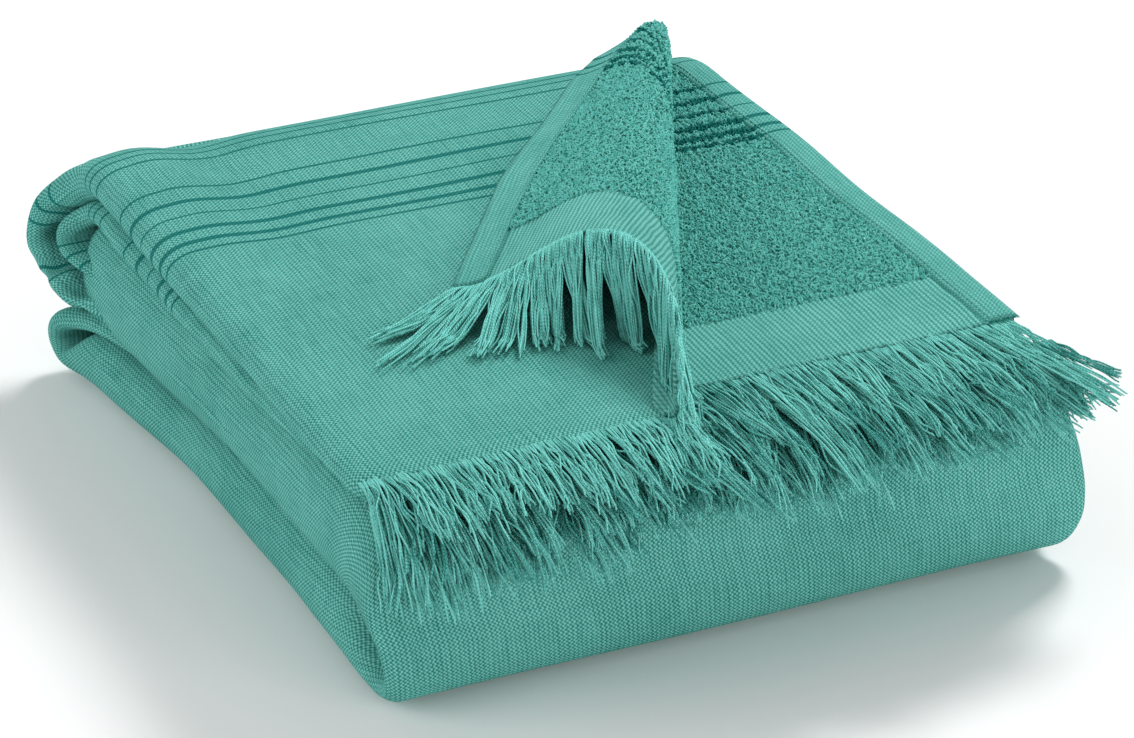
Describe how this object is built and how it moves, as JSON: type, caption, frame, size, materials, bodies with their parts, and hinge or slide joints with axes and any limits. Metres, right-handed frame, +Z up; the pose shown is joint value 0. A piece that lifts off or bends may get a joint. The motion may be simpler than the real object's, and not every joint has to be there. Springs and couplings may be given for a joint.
{
  "type": "bath towel",
  "caption": "Folded bath towel, flat woven outside and terry inside, with striped borders, fringed ends and one corner turned back.",
  "frame": {"origin": "centre of the object's footprint at the surface it lies on", "axes": "+X right along the fringed front edge, +Y to the back fold, +Z up"},
  "size_m": [0.25, 0.2974, 0.1171],
  "materials": {
    "flat_weave": "plain-woven cotton, matt",
    "flat_weave_inside": "ribbed flat border of the terry side, matt",
    "terry_pile": "uncut cotton loops",
    "hem_cloth": "turned and stitched flat weave",
    "stripe_yarn": "dark cotton weft",
    "sewing_thread": "matt sewing thread",
    "fringe_yarn": "loose cotton yarn"
  },
  "bodies": {
    "folded_towel": {"back_fold_inner": "flat_weave", "back_fold_outer": "flat_weave", "bottom_panel_lower": "flat_weave", "bottom_panel_upper": "flat_weave", "front_fold_inner": "flat_weave", "front_fold_outer": "flat_weave", "mid_length_fold": "flat_weave", "middle_panel_lower": "flat_weave", "middle_panel_upper": "flat_weave"},
    "top_panel": {"lower_end_plies": "flat_weave", "under_plies": "flat_weave", "left_edge_bead": "flat_weave", "terry_layer": "flat_weave_inside", "terry_layer_hem": "hem_cloth", "terry_hem_stitching": "sewing_thread", "terry_pile": "terry_pile", "face_layer": "flat_weave", "face_weft_stripes": "stripe_yarn", "crease_roll": "flat_weave", "lower_end_hems": "hem_cloth", "fringe_row_1": "fringe_yarn", "fringe_row_2": "fringe_yarn", "fringe_row_3": "fringe_yarn", "fringe_row_4": "fringe_yarn", "fringe_row_5": "fringe_yarn", "fringe_row_6": "fringe_yarn", "fringe_row_7": "fringe_yarn"},
    "corner": {"turned_corner": "flat_weave", "corner_hem": "hem_cloth", "corner_pile": "terry_pile", "corner_fringe": "fringe_yarn", "corner_hem_stitching": "sewing_thread"}
  },
  "joints": [
    {"name": "top_panel_lift", "type": "hinge", "parent": "folded_towel", "child": "top_panel", "pos_m": [0, 0.1297, 0.058], "axis": [-1, 0, 0], "range_deg": [0, 20], "deforming": ["back_fold_outer", "back_fold_inner"]},
    {"name": "corner_turn", "type": "hinge", "parent": "top_panel", "child": "corner", "pos_m": [-0.0094, -0.0609, 0.0981], "axis": [0.4622, 0.8859, -0.0382], "range_deg": [0, 30], "deforming": ["crease_roll"]}
  ]
}
